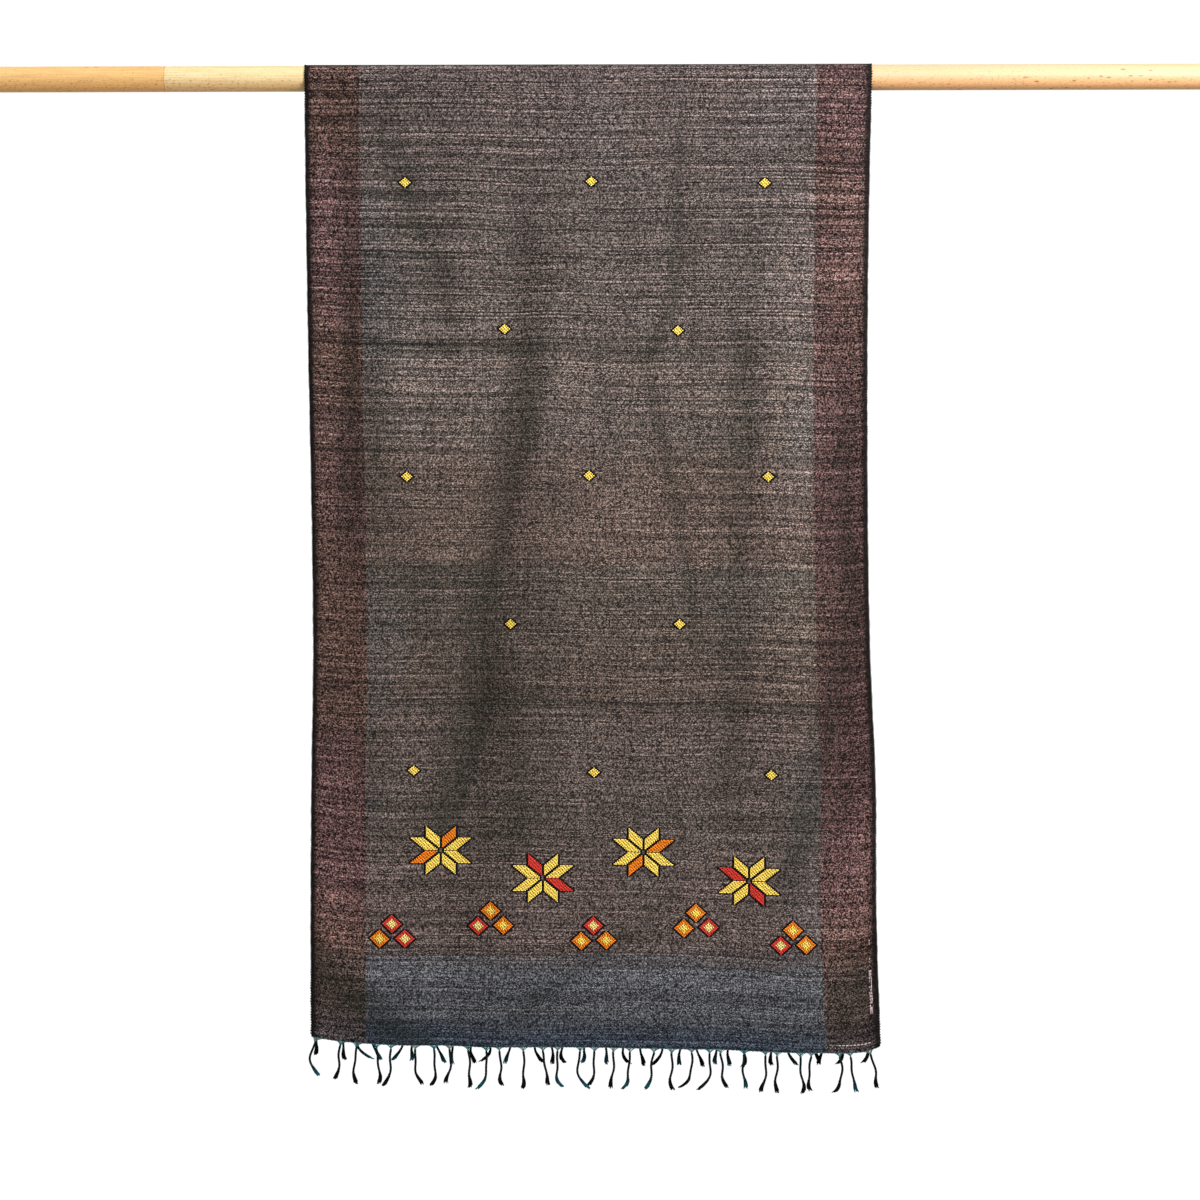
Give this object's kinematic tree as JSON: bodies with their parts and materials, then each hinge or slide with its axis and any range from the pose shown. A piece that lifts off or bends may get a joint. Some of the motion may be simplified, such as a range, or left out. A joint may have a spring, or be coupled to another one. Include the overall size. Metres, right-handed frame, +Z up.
{
  "type": "silk scarf on a wooden rod",
  "caption": "Long handwoven silk scarf hung over a round wooden rod, with dark stripes down its sides and knotted fringe on both hems.",
  "frame": {"origin": "on the rod's axis, half way along the rod", "axes": "+X along the rod, +Z up, and the longer, outer drop of the scarf on the -Y side"},
  "size_m": [1.22, 0.0384, 1.0004],
  "materials": {
    "rod_wood": "pale sanded pine, thin satin oil",
    "silk_cloth": "slubby handwoven silk, soft low sheen",
    "fringe_silk": "twisted silk threads, knotted"
  },
  "bodies": {
    "root": {"rod": "rod_wood", "cloth": "silk_cloth", "front_fringe": "fringe_silk", "back_fringe": "fringe_silk"}
  },
  "joints": []
}
